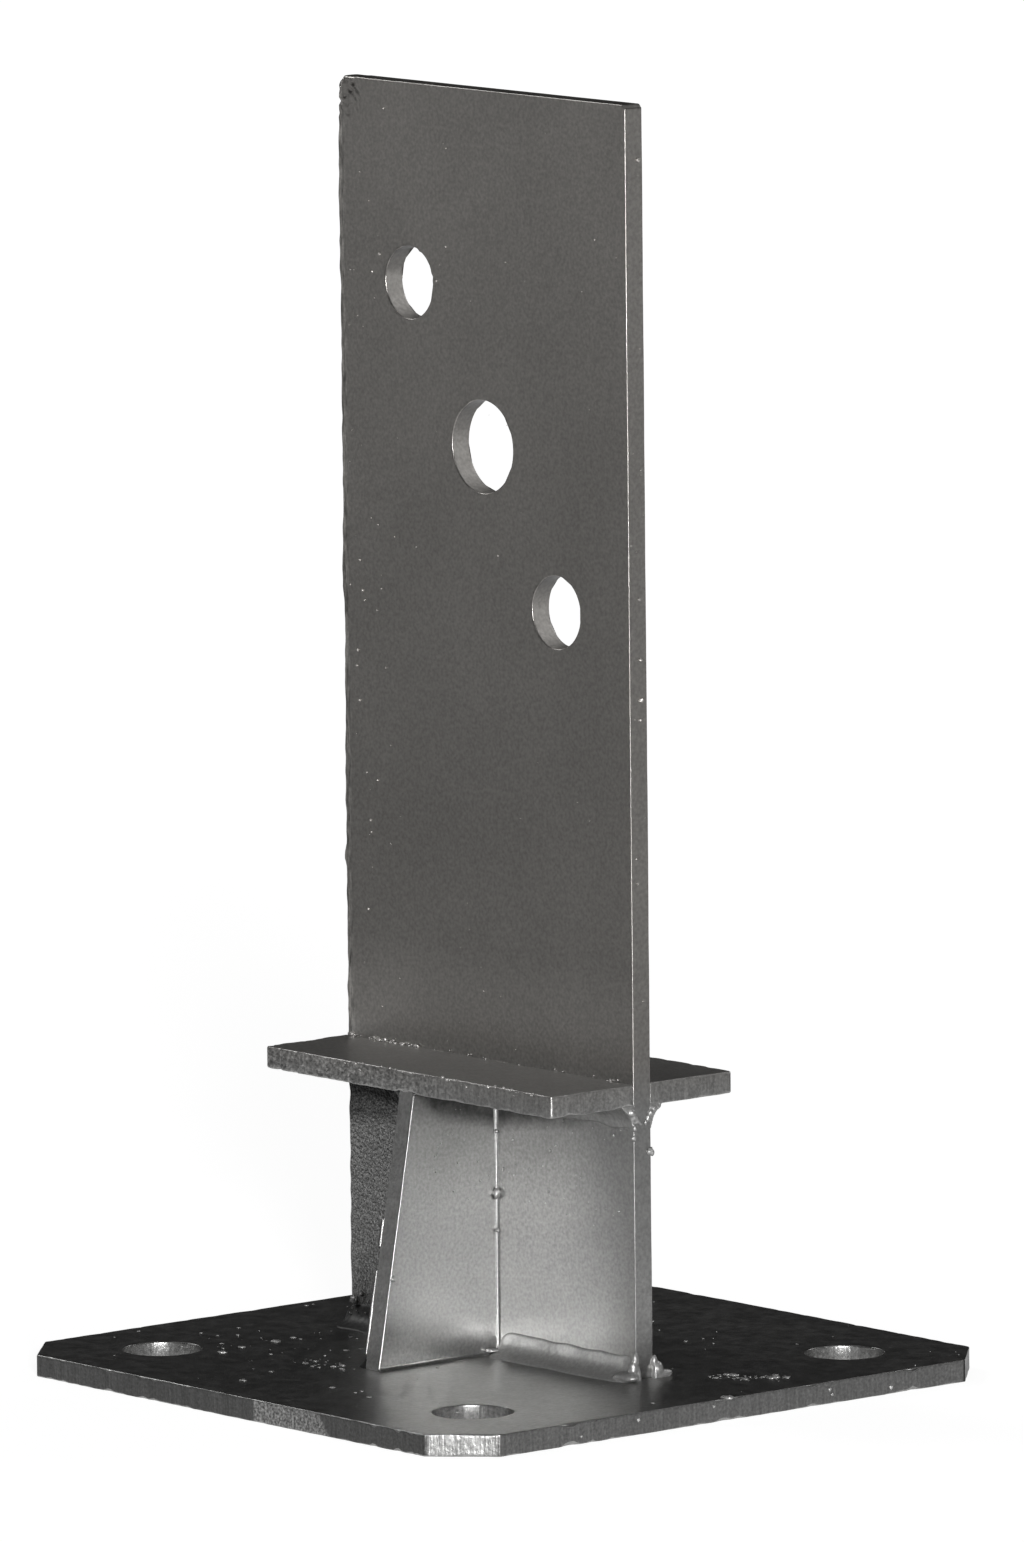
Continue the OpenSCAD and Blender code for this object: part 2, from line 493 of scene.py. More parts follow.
def sheared_edge(points, normals, radius):
    """The knife plate's outline: sheared and dented on its left, worn at the top left."""
    left, top = knife_low[0], knife_high[2]
    sheared = np.clip(-normals[:, 0], 0, 1) * (points[:, 0] < left + 3)
    dents = wobble(points, *SHEAR_WAVES) + wobble(points, *SHEAR_RIPPLES)
    for height, width, depth in KNIFE_DENTS:
        dents += depth * np.exp(-((points[:, 1] - height) / width) ** 2)
    points = points + normals * (sheared * (dents - SHEAR_SINK))[:, None]
    radius = radius + sheared * (SHEAR_ROUNDING + wobble(points, *SHEAR_ROUNDING_WAVES))
    top_left = (points[:, 0] < left + 6) * (points[:, 1] > top - 9)
    radius = radius + top_left * CORNER_WEAR
    radius = radius - KNIFE_FINE_EDGE * np.clip(normals[:, 0], 0, 1)
    return points, np.clip(radius, *KNIFE_ROUNDING)


def knife_edges(points, normals, radius):
    """The holes' walls, the upper one a little torn, or the plate's outline."""
    if normals[0] @ (points[0] - points.mean(0)) < 0:
        torn = wobble(points, *HOLE_TORN) * (points[:, 1] > HOLE_TORN_FROM)
        return points + normals * torn[:, None], np.clip(radius, *HOLE_ROUNDING)
    return sheared_edge(points, normals, radius)


def knife_relief(flat):
    """Gentle waves, the drag of the shear along the left, and gouges at the top left."""
    left, top = knife_low[0], knife_high[2]
    lift = uneven(28.0, 0.03, 4.0)(flat)
    inwards = np.clip((flat[:, 0] - left) / SHEAR_BAND, 0, 1)
    along = np.column_stack([flat[:, 0] * 3, flat[:, 1]])
    shear = (1 - inwards) * (SHEAR_DEPTH + np.abs(wobble(along, *SHEAR_DRAG)))
    width, height = GOUGED_CORNER
    near = np.clip((left + width - flat[:, 0]) / GOUGED_FADE, 0, 1)
    near = near * np.clip((flat[:, 1] - top + height) / GOUGED_FADE, 0, 1)
    gouges = near * np.clip(wobble(flat, *GOUGES), *GOUGE_RANGE)
    lift[:, 0] += gouges - shear
    return lift


def make_knife(materials):
    left, right = knife_low[0], knife_high[0]
    foot, top = knife_low[2] - BURY, knife_high[2]
    d, n = KNIFE_DRESSED, KNIFE_NICK
    corners = [
        (left, foot), (right, foot), (right, top - n), (right - n, top),
        (left + d, top), (left, top - d),
    ]
    return plate(
        "painted_knife_plate", corners, KNIFE_HOLES, knife_high[1] - knife_low[1],
        lambda u, v, w: (u, knife_low[1] + w, v), materials,
        relief=knife_relief, edges=knife_edges, corner_radius=0.7, striae_depth=0.03, seed=21.0,
        close_ups=(
            (left + 0.9, foot + 2.0, left + 3.6, top - 10.0, 0.7),
            (left + 1.4, top - 10.0, left + 9.0, top - 1.4, 0.45),
        ),
    )


def make_seat(name, node, materials, seed):
    low, high = corners_of(node)
    front, rear = low[1], high[1]
    if rear < 0:
        rear += BURY
    else:
        front -= BURY
    corners = [(low[0], front), (high[0], front), (high[0], rear), (low[0], rear)]

    def edges(points, normals, radius):
        radius = nicks(points, radius, int(seed), *SEAT_NICKS)
        worn = np.clip((SEAT_WORN_FROM - points[:, 0]) / SEAT_WORN_FADE, 0, 1)
        radius = radius + worn * np.abs(wobble(points, *SEAT_WEAR, seed + 9))
        sink = worn * SEAT_WEAR_SINK * (radius - EDGE_RADIUS)
        points = points - normals * sink[:, None]
        return points, np.clip(radius * broken(points, seed + 17), *WORN_ROUNDING)

    return plate(
        name, corners, [], high[2] - low[2],
        lambda u, v, w: (u, v, high[2] - w), materials,
        relief=uneven(14.0, 0.04, seed), edges=edges, striae_depth=0.07, seed=seed,
    )


def make_gusset(name, node, side, materials, seed):
    low, high = corners_of(node)
    root = knife_high[1] - BURY
    reach = high[1] if side > 0 else -low[1]
    slope = (reach - abs(seat_low[1])) / (high[2] - low[2])
    foot, under = low[2] - BURY, high[2] + GUSSET_TENON
    head = reach - slope * (under - low[2])
    corners = [(root, foot), (reach + slope * BURY, foot), (head, under), (root, under)]
    return plate(
        name, corners, [], high[0] - low[0],
        lambda u, v, w: (high[0] - w, side * u, v), materials,
        relief=uneven(18.0, 0.04, seed), striae_depth=0.04, seed=seed,
    )


# Weld beads: a swept section of weld metal, remeshed so that its lumps flow together

VOXEL = 0.24
SINK = 0.45
FRAY = 0.1
SECTION = 14
SWEEP_STEP = 0.35
MEAN_LEG = 4.5
# A round end: its length as a share of the bead's reach, and how thin it starts
ROUND_END = 0.9
END_SHARE = 0.12
# How long the sway of a bead's width is, and how far its ripples bow
SWAY_LENGTH = 7.0
RIPPLE_BOW = 0.55


def axis_of(word):
    """A signed unit vector from a word such as "-y"."""
    vector = np.zeros(3)
    vector["xyz".index(word[1])] = -1.0 if word[0] == "-" else 1.0
    return vector


def end_shrink(away, reach):
    """How thin a round end is at a distance from its tip."""
    t = min(1.0, away / (ROUND_END * reach))
    return END_SHARE + (1 - END_SHARE) * math.sqrt(max(0.0, 1 - (1 - t) ** 2))


def bead_section(a, b, s, phase, shrink, style):
    """Points across a bead at one place along it, from one plate to the other."""
    ring = [np.array([-SINK, -SINK])]
    out = np.array([b, a]) / math.hypot(a, b)
    for k in range(SECTION + 1):
        t = k / SECTION
        bow = RIPPLE_BOW * (2 * t - 1) ** 2
        ripple = math.sin(2 * math.pi * (s / style["pitch"] + bow) + phase)
        band = math.sin(3 * math.pi * t) * style["band"]
        height = style["crown"] * min(a, b) / MEAN_LEG * math.sin(math.pi * t)
        height += style["ripple"] * ripple * math.sin(math.pi * t) ** 0.8 * shrink
        height += band * shrink
        ring.append(np.array([a * (1 - t), b * t]) + out * height)
    ring[1] = ring[1] + np.array([FRAY, -SINK])
    ring[-1] = ring[-1] + np.array([-SINK, FRAY])
    return ring


def sweep(start, along, length, arm_a, arm_b, reach_a, reach_b, ends, style, seed):
    """Points and faces of one bead. arm_a and arm_b run along the two plates it joins."""
    phase = random.Random(seed).uniform(0, 6)
    count = max(12, int(length / SWEEP_STEP))
    rings = []
    for i in range(count + 1):
        s = length * i / count
        shrink = 1.0
        if ends[0] == "round":
            shrink *= end_shrink(s, max(reach_a, reach_b))
        if ends[1] == "round":
            shrink *= end_shrink(length - s, max(reach_a, reach_b))
        sway_a = noise.noise(Vector((s / SWAY_LENGTH, seed, 0.3)))
        sway_b = noise.noise(Vector((s / SWAY_LENGTH, seed, 9.3)))
        a = reach_a * shrink * (1 + style["sway"] * sway_a)
        b = reach_b * shrink * (1 + style["sway"] * sway_b)
        ring = bead_section(a, b, s, phase, shrink, style)
        rings.append([start + along * s + arm_a * p[0] + arm_b * p[1] for p in ring])
    size = len(rings[0])
    rows = [range(i * size, (i + 1) * size) for i in range(count + 1)]
    faces = tube_faces(rows)
    faces += [tuple(rows[0])[::-1], tuple(rows[-1])]
    return [p for ring in rings for p in ring], faces


def lump(centre, axes, seed, rough=0.12, rings=10):
    """A closed uneven blob of weld metal: three half-axes along X, Y and Z."""
    points = []
    faces = []
    around = 2 * rings
    points.append((0.0, 0.0, 1.0))
    for i in range(1, rings):
        polar = math.pi * i / rings
        for k in range(around):
            turn = 2 * math.pi * k / around
            points.append((
                math.sin(polar) * math.cos(turn),
                math.sin(polar) * math.sin(turn),
                math.cos(polar),
            ))
    points.append((0.0, 0.0, -1.0))
    last = len(points) - 1
    for k in range(around):
        n = (k + 1) % around
        faces.append((0, 1 + k, 1 + n))
        for i in range(rings - 2):
            a = 1 + i * around
            b = a + around
            faces.append((a + k, b + k, b + n, a + n))
        a = 1 + (rings - 2) * around
        faces.append((a + k, last, a + n))
    shaped = []
    for p in points:
        swell = 1 + rough * noise.noise(Vector(p) * 1.7 + Vector((seed, 0, seed)))
        shaped.append(np.array(centre) + np.array(axes) * np.array(p) * swell)
    return shaped, faces


def gather(parts):
    """Several closed forms as one list of points and faces."""
    points = []
    faces = []
    for part_points, part_faces in parts:
        first = len(points)
        points += list(part_points)
        faces += [tuple(first + i for i in face) for face in part_faces]
    return points, faces


def fuse(obj, voxel, smooth):
    """Melts overlapping closed forms into one skin."""
    fix_normals(obj)
    remesh = obj.modifiers.new("melt", "REMESH")
    remesh.mode = "VOXEL"
    remesh.voxel_size = voxel * MM
    remesh.use_smooth_shade = True
    soften = obj.modifiers.new("soften", "SMOOTH")
    soften.factor = 0.5
    soften.iterations = smooth
    bpy.context.view_layer.update()
    shaped = bpy.data.meshes.new_from_object(
        obj.evaluated_get(bpy.context.evaluated_depsgraph_get())
    )
    obj.modifiers.clear()
    materials = list(obj.data.materials)
    obj.data = shaped
    shaped.materials.clear()
    for material in materials:
        shaped.materials.append(material)
    shaped.polygons.foreach_set("use_smooth", [True] * len(shaped.polygons))


SMOOTH_STYLE = {"pitch": 2.6, "ripple": 0.02, "crown": -1.2, "band": 0.08, "sway": 0.1}
HOLLOW_STYLE = {"pitch": 2.1, "ripple": 0.05, "crown": -0.9, "band": 0.05, "sway": 0.15}
RIPPLED_STYLE = {"pitch": 1.8, "ripple": 0.08, "crown": -0.25, "band": 0.0, "sway": 0.18}
SEAM_STYLE = {"pitch": 9.0, "ripple": 0.0, "crown": -0.29, "band": 0.0, "sway": 0.35}


def make_bead(node, along, arm_a, arm_b, ends, style, seed, material, lumps=()):
    """A weld bead in place of its CAD node, from that node's box."""
    low, high = corners_of(node)
    way = axis_of(along)
    a = axis_of(arm_a)
    b = axis_of(arm_b)
    start = np.where(way + a + b > 0, low, high)
    length = abs((high - low) @ way)
    reach_a = abs((high - low) @ a)
    reach_b = abs((high - low) @ b)
    parts = [sweep(start, way, length, a, b, reach_a, reach_b, ends, style, seed)]
    parts += [lump(centre, axes, seed + k) for k, (centre, axes) in enumerate(lumps)]
    points, faces = gather(parts)
    obj = lay_mesh("bead_" + node.replace("weld_", ""), points, faces, [material])
    fuse(obj, VOXEL, 2)
    finish_piece(obj, [node])
    return obj


# Paint gathered in the bare corners, and drops of spatter

DROP_ON_BASE = (1.7, 1.4, 0.42)
DROP_ROUGH = 0.7
DROP_RINGS = 7
DROP_SEED_STEP = 0.37


def make_seams(name, seams, material):
    """Thin hollow lines of paint or burr, each from its start to its end."""
    parts = []
    style = dict(SEAM_STYLE, crown=SEAM_STYLE["crown"] * MEAN_LEG)
    for k, (start, end, arm_a, arm_b, size) in enumerate(seams):
        start = np.array(start)
        way = np.array(end) - start
        length = np.linalg.norm(way)
        parts.append(sweep(
            start, way / length, length, axis_of(arm_a), axis_of(arm_b), size, size,
            ("butt", "butt"), style, 71 + k,
        ))
    points, faces = gather(parts)
    obj = lay_mesh(name, points, faces, [material])
    fix_normals(obj)
    return finish_piece(obj, [])


def make_spatter(name, drops, material):
    """Drops of weld metal that stick to the plates; those on the base are flatter."""
    parts = []
    for k, (x, y, z, radius, axis) in enumerate(drops):
        axes = radius * np.array([1.0, 1.0, 1.0])
        if axis == "z":
            axes *= DROP_ON_BASE
        parts.append(lump((x, y, z), axes, DROP_SEED_STEP * k, DROP_ROUGH, DROP_RINGS))
    points, faces = gather(parts)
    obj = lay_mesh(name, points, faces, [material])
    return finish_piece(obj, [])


def scatter(seed, number, low, high, axis, sizes):
    """Random drops over a flat patch; the patch is thin along the axis."""
    rng = random.Random(seed)
    drops = []
    for _ in range(number):
        place = [rng.uniform(a, b) for a, b in zip(low, high)]
        size = sizes[0] + (sizes[1] - sizes[0]) * rng.random() ** 3
        drops.append((*place, size, axis))
    return drops


# Materials: metallic grey paint, with orange peel, flecks and cut striae, and painted light and
# shade

X_AXIS = (1.0, 0.0, 0.0)
Y_AXIS = (0.0, 1.0, 0.0)
Z_AXIS = (0.0, 0.0, 1.0)
RISE = (0.0, 1.0)
FALL = (1.0, 0.0)

# Ramps over the anchor: the axis, the places on it from and to, and the values there
UNDER_SEAT = (Z_AXIS, (66.8, 67.2), FALL)
ABOVE_SEAT = (Z_AXIS, (70.0, 71.2), RISE)
UPPER_PART = (Z_AXIS, (66.0, 76.0), RISE)
# Left of the gussets and under the seat, where the dry spray settled
DRY_SPRAY = ((Z_AXIS, (64.0, 68.0), FALL), (X_AXIS, (-5.0, -3.0), FALL))
# Painted shadow: close under the seat on that side, darkened where the seat casts its shadow
SHADED_STRIP = ((Z_AXIS, (56.5, 59.0), RISE), *DRY_SPRAY)
# Painted shadow: close under the seat right of the gussets, darkened where the seat casts its shadow
SEAT_SHADOW_RIGHT = (
    ((-0.1, 0.2, 1.0), (55.0, 58.5), RISE), ((0.0, 1.0, 1.0), (39.5, 42.5), RISE),
    UNDER_SEAT, (X_AXIS, (26.0, 40.0), FALL),
)
# Painted light and shade right of the gussets: darker up towards the seat, for the seat's shade, and
# a little lighter low down; on the gusset much lighter at the foot, for light gathered in the corner
SHADE_GRADIENT_RIGHT = (UNDER_SEAT, (X_AXIS, (-3.4, -3.0), RISE), (X_AXIS, (30.0, 46.0), FALL))
GUSSET_SIDE = (X_AXIS, (2.7, 3.1), FALL)
LIGHTER_AT_FOOT = (Z_AXIS, (12.0, 40.0), (0.04, 0.0))
DARKER_AT_HEAD = (Z_AXIS, (40.0, 58.0), (0.0, -0.26))
PAINTED_LIGHT_AT_FOOT = (Z_AXIS, (8.0, 13.0), (0.6, 0.0))
# Painted light on the knife plate: lighter close above the seat, for the lit seat top mirrored in
# it, and lighter towards the top
PAINTED_LIGHT_ABOVE_SEAT = (Z_AXIS, (72.0, 96.0), (0.5, 0.0))
LIGHTER_TO_TOP = (Z_AXIS, (120.0, 280.0), (-0.04, 0.18))
# The strip along the knife plate's sheared left edge
SHEARED_STRIP = ((X_AXIS, (-49.2, -47.8), FALL), (Z_AXIS, (70.0, 72.0), RISE))
# Painted shade: the base plate's straight front and right cuts and its back right corner cut are
# darker than the rest of its rim
BASE_CUTS_PAINTED_SHADE = (
    (Y_AXIS, (-79.6, -79.0), (FRONT_CUT_PAINTED_SHADE, 1.0)),
    (X_AXIS, (79.0, 79.6), (1.0, SIDE_CUT_PAINTED_SHADE)),
    ((1.0, 1.0, 0.0), (147.2, 147.8), (1.0, CORNER_CUT_PAINTED_SHADE)),
)
# The bare patch on the base plate's front cut
BARE_PATCH = (
    (X_AXIS, (9.0, 9.6), RISE), ((1.0, 0.0, 0.8), (35.0, 36.2), FALL),
    (Y_AXIS, (-79.6, -79.0), FALL),
)
# The left part of the seat's cuts, where the shear tore the steel
TORN_PART = ((X_AXIS, (-5.0, 25.0), FALL),)
# Painted shade in a hole, darker where the wall looks down and lighter where it looks up: the slope
# of the wall and the level
HOLE_SLOPE = (-1.0, 0.4)
HOLE_SHADE_LEVELS = (0.05, 1.25)

# Noise in the coat and in its painted shadows: scale and detail, the part of the noise that counts,
# and its effect
PATCHES = (22.0, 3.0, (0.35, 0.65), (0.94, 1.05))
FLECKS = (1300.0, 2.0, (0.3, 0.72), (0.85, 1.18))
DRY_SPECKLE = (2300.0, 3.0, (0.42, 0.68), (-0.5, 0.35))
SEAT_SHADOW_PATCHES = (260.0, 2.0, (0.3, 0.6), (0.8, 1.0))
SEAT_SHADOW_DARKENING = (600.0, 2.0, (0.3, 0.7), (-0.72, -0.5))
SHADED_STRIP_DARKENING = (600.0, 2.0, (0.3, 0.7), (-0.85, -0.7))
SHEAR_STREAKS = (1.0, 4.0, (0.35, 0.65), (-0.45, 0.6))
SHEAR_STRETCH = (1500.0, 1500.0, 260.0)
CUT_LINES = (1.0, 4.0, (0.3, 0.7), (0.82, 1.18))
CUT_GRAIN = (1700.0, 4.0, (0.3, 0.7), (0.8, 1.2))
BARE_GRAIN = (1500.0, 4.0, (0.38, 0.66), (0.0, 3.6))
TORN_FLAKES = (900.0, 4.0, (0.36, 0.66), (-0.35, 0.6))
ROUGH_NOISE = (320.0, 4.0)
ROUGH_RANGE = (0.3, 0.7)

# Bumps: scale, detail and depth
PEEL_NOISE = (620.0, 3.0)
FINE_PEEL = (2600.0, 1.0, 0.012)
DRY_GRIT = (1300.0, 5.0, 0.35)
STRIAE_BUMP = (1.0, 3.0, 0.1)
CUT_BUMP = (900.0, 5.0, 0.1)
TORN_PITS = (700.0, 4.0, 0.4)


def map_range(tree, value, reach, values):
    """A ramp over a value, from and to the two ends of its reach."""
    node = tree.nodes.new("ShaderNodeMapRange")
    for socket, number in zip(node.inputs[1:5], (*reach, *values)):
        socket.default_value = number
    tree.links.new(value, node.inputs["Value"])
    return node.outputs["Result"]


def noise_at(tree, vector, scale, detail=2.0, stretch=None):
    """Noise at a number of features per metre, drawn out along an axis by stretch."""
    if stretch is not None:
        mapping = tree.nodes.new("ShaderNodeMapping")
        mapping.inputs["Scale"].default_value = stretch
        tree.links.new(vector, mapping.inputs["Vector"])
        vector = mapping.outputs["Vector"]
    node = tree.nodes.new("ShaderNodeTexNoise")
    node.inputs["Scale"].default_value = scale
    node.inputs["Detail"].default_value = detail
    tree.links.new(vector, node.inputs["Vector"])
    return node.outputs["Fac"]


def maths(tree, operation, *values, kind="ShaderNodeMath"):
    """A maths node over sockets and plain numbers."""
    node = tree.nodes.new(kind)
    node.operation = operation
    for socket, value in zip(node.inputs, values):
        if isinstance(value, bpy.types.NodeSocket):
            tree.links.new(value, socket)
        else:
            socket.default_value = value
    return node.outputs["Value"]


def multiply(tree, first, *others):
    """The product of two or more values."""
    for other in others:
        first = maths(tree, "MULTIPLY", first, other)
    return first


def along_axis(tree, place, axis):
    """How far a place lies along an axis, in metres."""
    return maths(tree, "DOT_PRODUCT", place, axis, kind="ShaderNodeVectorMath")


def within(tree, mask, change):
    """1 outside the mask, 1 + change inside it."""
    return maths(tree, "MULTIPLY_ADD", mask, change, 1.0)


def ramp(tree, place, axis, reach, values):
    """A ramp along an axis, between two places in millimetres."""
    return map_range(tree, along_axis(tree, place, axis), [r * MM for r in reach], values)


def ramps(tree, place, rows):
    """The product of several ramps."""
    return multiply(tree, *[ramp(tree, place, *row) for row in rows])


def noise_level(tree, place, scale, detail, reach, values, stretch=None):
    """Noise in the coat, from one of the rows above."""
    return map_range(tree, noise_at(tree, place, scale, detail, stretch), reach, values)


def noise_bump(tree, place, scale, detail, depth, normal=None, where=None, stretch=None):
    """Adds the bumps of a noise to a normal, everywhere or only where a mask lets them."""
    height = noise_at(tree, place, scale, detail, stretch)
    if where is not None:
        height = multiply(tree, height, where)
    node = tree.nodes.new("ShaderNodeBump")
    node.inputs["Distance"].default_value = depth * MM
    tree.links.new(height, node.inputs["Height"])
    if normal is not None:
        tree.links.new(normal, node.inputs["Normal"])
    return node.outputs["Normal"]


def coat_and_painted_light(tree, place):
    """How full the coat is on the upright faces, with painted shadow under the seat and painted
    light and shade on the gussets and the knife plate.
    """
    seat_shadow = multiply(
        tree, ramps(tree, place, SEAT_SHADOW_RIGHT), noise_level(tree, place, *SEAT_SHADOW_PATCHES),
    )
    shade_gradient = ramps(tree, place, SHADE_GRADIENT_RIGHT)
    on_gusset = multiply(tree, shade_gradient, ramp(tree, place, *GUSSET_SIDE))
    above = ramp(tree, place, *ABOVE_SEAT)
    streaks = noise_level(tree, place, *SHEAR_STREAKS, SHEAR_STRETCH)
    changes = (
        (ramps(tree, place, DRY_SPRAY), noise_level(tree, place, *DRY_SPECKLE)),
        (seat_shadow, noise_level(tree, place, *SEAT_SHADOW_DARKENING)),
        (shade_gradient, ramp(tree, place, *LIGHTER_AT_FOOT)),
        (shade_gradient, ramp(tree, place, *DARKER_AT_HEAD)),
        (on_gusset, ramp(tree, place, *PAINTED_LIGHT_AT_FOOT)),
        (above, ramp(tree, place, *PAINTED_LIGHT_ABOVE_SEAT)),
        (above, ramp(tree, place, *LIGHTER_TO_TOP)),
        (ramps(tree, place, SHADED_STRIP), noise_level(tree, place, *SHADED_STRIP_DARKENING)),
        (ramps(tree, place, SHEARED_STRIP), streaks),
    )
    return multiply(tree, *[within(tree, mask, change) for mask, change in changes])


def cut_level(tree, place, striae):
    """How full the coat is on cut edges, with the cut's lines and grain, and the painted shade of
    the base plate's single cuts.
    """
    lines = noise_level(tree, place, *CUT_LINES, striae)
    grain = noise_level(tree, place, *CUT_GRAIN)
    bare = within(
        tree, ramps(tree, place, BARE_PATCH), noise_level(tree, place, *BARE_GRAIN),
    )
    return multiply(tree, grain, lines, ramps(tree, place, BASE_CUTS_PAINTED_SHADE), bare)


def hole_wall_painted_shade(tree):
    """Painted shade inside a hole, by the slope of its wall: darker where it looks down, lighter
    where it looks up.
    """
    normal = tree.nodes.new("ShaderNodeTexCoord").outputs["Normal"]
    return map_range(tree, along_axis(tree, normal, Z_AXIS), HOLE_SLOPE, HOLE_SHADE_LEVELS)


def tinted_tone(tree, place, tone):
    """The paint's tone, a little warmer above the seat."""
    tint = tree.nodes.new("ShaderNodeMix")
    tint.data_type = "RGBA"
    tree.links.new(ramp(tree, place, *UPPER_PART), tint.inputs["Factor"])
    lower, upper = [socket for socket in tint.inputs if socket.type == "RGBA"]
    lower.default_value = (*tone, 1)
    upper.default_value = (*(c * t for c, t in zip(tone, UPPER_TINT)), 1)
    return [socket for socket in tint.outputs if socket.type == "RGBA"][0]


def paint_normal(tree, place, peel, striae, dry_spray_and_shade, torn):
    """The relief of the coat: orange peel, dry grit, the cut's lines and torn steel."""
    normal = noise_bump(tree, place, *PEEL_NOISE, peel)
    normal = noise_bump(tree, place, *FINE_PEEL, normal)
    if dry_spray_and_shade:
        normal = noise_bump(tree, place, *DRY_GRIT, normal, ramps(tree, place, DRY_SPRAY))
    if striae is not None:
        normal = noise_bump(tree, place, *STRIAE_BUMP, normal, stretch=striae)
        normal = noise_bump(tree, place, *CUT_BUMP, normal)
    if torn:
        normal = noise_bump(tree, place, *TORN_PITS, normal, ramps(tree, place, TORN_PART))
    return normal


def make_paint(name, striae=None, dry_spray_and_shade=False, torn=False, hole=False, rim_tint=1.0):
    """A grey paint; its colour is the tone times the levels of everything it shows, painted light
    and shade among them.
    """
    factor, peel, metal, roughness = PAINTS[name]
    tone = [factor * c for c in PAINT_TONE]
    material = bpy.data.materials.new(name)
    material.use_nodes = True
    tree = material.node_tree
    shader = tree.nodes["Principled BSDF"]
    shader.inputs["Metallic"].default_value = metal
    shader.inputs["Specular Tint"].default_value = (rim_tint, rim_tint, rim_tint, 1)
    place = tree.nodes.new("ShaderNodeTexCoord").outputs["Object"]
    levels = [noise_level(tree, place, *PATCHES), noise_level(tree, place, *FLECKS)]
    if dry_spray_and_shade:
        levels.append(coat_and_painted_light(tree, place))
    if striae is not None:
        levels.append(cut_level(tree, place, striae))
    # A hole's wall takes painted shade by its slope
    if hole:
        levels.append(hole_wall_painted_shade(tree))
    if torn:
        flakes = noise_level(tree, place, *TORN_FLAKES)
        levels.append(within(tree, ramps(tree, place, TORN_PART), flakes))
    colour = tree.nodes.new("ShaderNodeVectorMath")
    colour.operation = "SCALE"
    tree.links.new(tinted_tone(tree, place, tone), colour.inputs[0])
    tree.links.new(multiply(tree, *levels), colour.inputs["Scale"])
    tree.links.new(colour.outputs["Vector"], shader.inputs["Base Color"])
    spread = [roughness + part for part in ROUGHNESS_SPREAD]
    rough = map_range(tree, noise_at(tree, place, *ROUGH_NOISE), ROUGH_RANGE, spread)
    tree.links.new(rough, shader.inputs["Roughness"])
    normal = paint_normal(tree, place, peel, striae, dry_spray_and_shade, torn)
    tree.links.new(normal, shader.inputs["Normal"])
    return material


def floor_in_paint(tree, place, away):
    """How bright the floor is in mirrored rays: a white sheet between two dimmer sides."""
    near = SHEET_HALF * MM
    far = near + SHEET_FADE * MM
    left_way = along_axis(tree, place, SHEET_LEFT_SIDE)
    right_way = along_axis(tree, place, SHEET_RIGHT_SIDE)
    left = map_range(tree, left_way, (-far, -near), (FLOOR_LEFT, 1.0))
    right = map_range(tree, right_way, (near, far), (1.0, FLOOR_RIGHT))
    reach = (FLOOR_NEAR * MM, FLOOR_FAR * MM)
    return multiply(tree, map_range(tree, away, reach, (SHEET_GLOW, FLOOR_GLOW_FAR)), left, right)


def make_floor_material():
    """A pale floor that glows for the camera, and otherwise in mirrored rays."""
    material = bpy.data.materials.new("pale_floor")
    material.use_nodes = True
    tree = material.node_tree
    tree.nodes.clear()
    output = tree.nodes.new("ShaderNodeOutputMaterial")
    diffuse = tree.nodes.new("ShaderNodeBsdfDiffuse")
    diffuse.inputs["Color"].default_value = (FLOOR_ALBEDO, FLOOR_ALBEDO, FLOOR_ALBEDO, 1)
    glow = tree.nodes.new("ShaderNodeEmission")
    rays = tree.nodes.new("ShaderNodeLightPath").outputs
    mirrored = maths(tree, "MAXIMUM", rays["Is Glossy Ray"], rays["Is Transmission Ray"])
    place = tree.nodes.new("ShaderNodeTexCoord").outputs["Object"]
    away = maths(tree, "LENGTH", place, kind="ShaderNodeVectorMath")
    reach = (FLOOR_NEAR * MM, FLOOR_FAR * MM)
    seen = map_range(tree, away, reach, (FLOOR_GLOW_NEAR, FLOOR_GLOW_FAR))
    reflected = multiply(tree, mirrored, floor_in_paint(tree, place, away))
    strength = maths(tree, "ADD", multiply(tree, rays["Is Camera Ray"], seen), reflected)
    tree.links.new(strength, glow.inputs["Strength"])
    both = tree.nodes.new("ShaderNodeAddShader")
    tree.links.new(diffuse.outputs[0], both.inputs[0])
    tree.links.new(glow.outputs[0], both.inputs[1])
    tree.links.new(both.outputs[0], output.inputs["Surface"])
    return material


def make_floor():
    half = FLOOR_HALF
    points = [(-half, -half, 0), (half, -half, 0), (half, half, 0), (-half, half, 0)]
    floor = lay_mesh("floor", points, [(0, 1, 2, 3)], [make_floor_material()])


def make_world():
    """White at the horizon, a dim room above it and a pale ceiling."""
    world = bpy.data.worlds.new("studio")
    bpy.context.scene.world = world
    world.use_nodes = True
    tree = world.node_tree
    background = tree.nodes["Background"]
    place = tree.nodes.new("ShaderNodeTexCoord").outputs["Generated"]
    split = tree.nodes.new("ShaderNodeSeparateXYZ")
    tree.links.new(place, split.inputs[0])
    colours = tree.nodes.new("ShaderNodeValToRGB")
    tree.links.new(split.outputs["Z"], colours.inputs["Fac"])
    elements = colours.color_ramp.elements
    while len(elements) < len(WORLD_STOPS):
        elements.new(0.5)
    for element, (position, level) in zip(elements, WORLD_STOPS):
        element.position = position
        element.color = (level, level, level, 1)
    tree.links.new(colours.outputs["Color"], background.inputs["Color"])


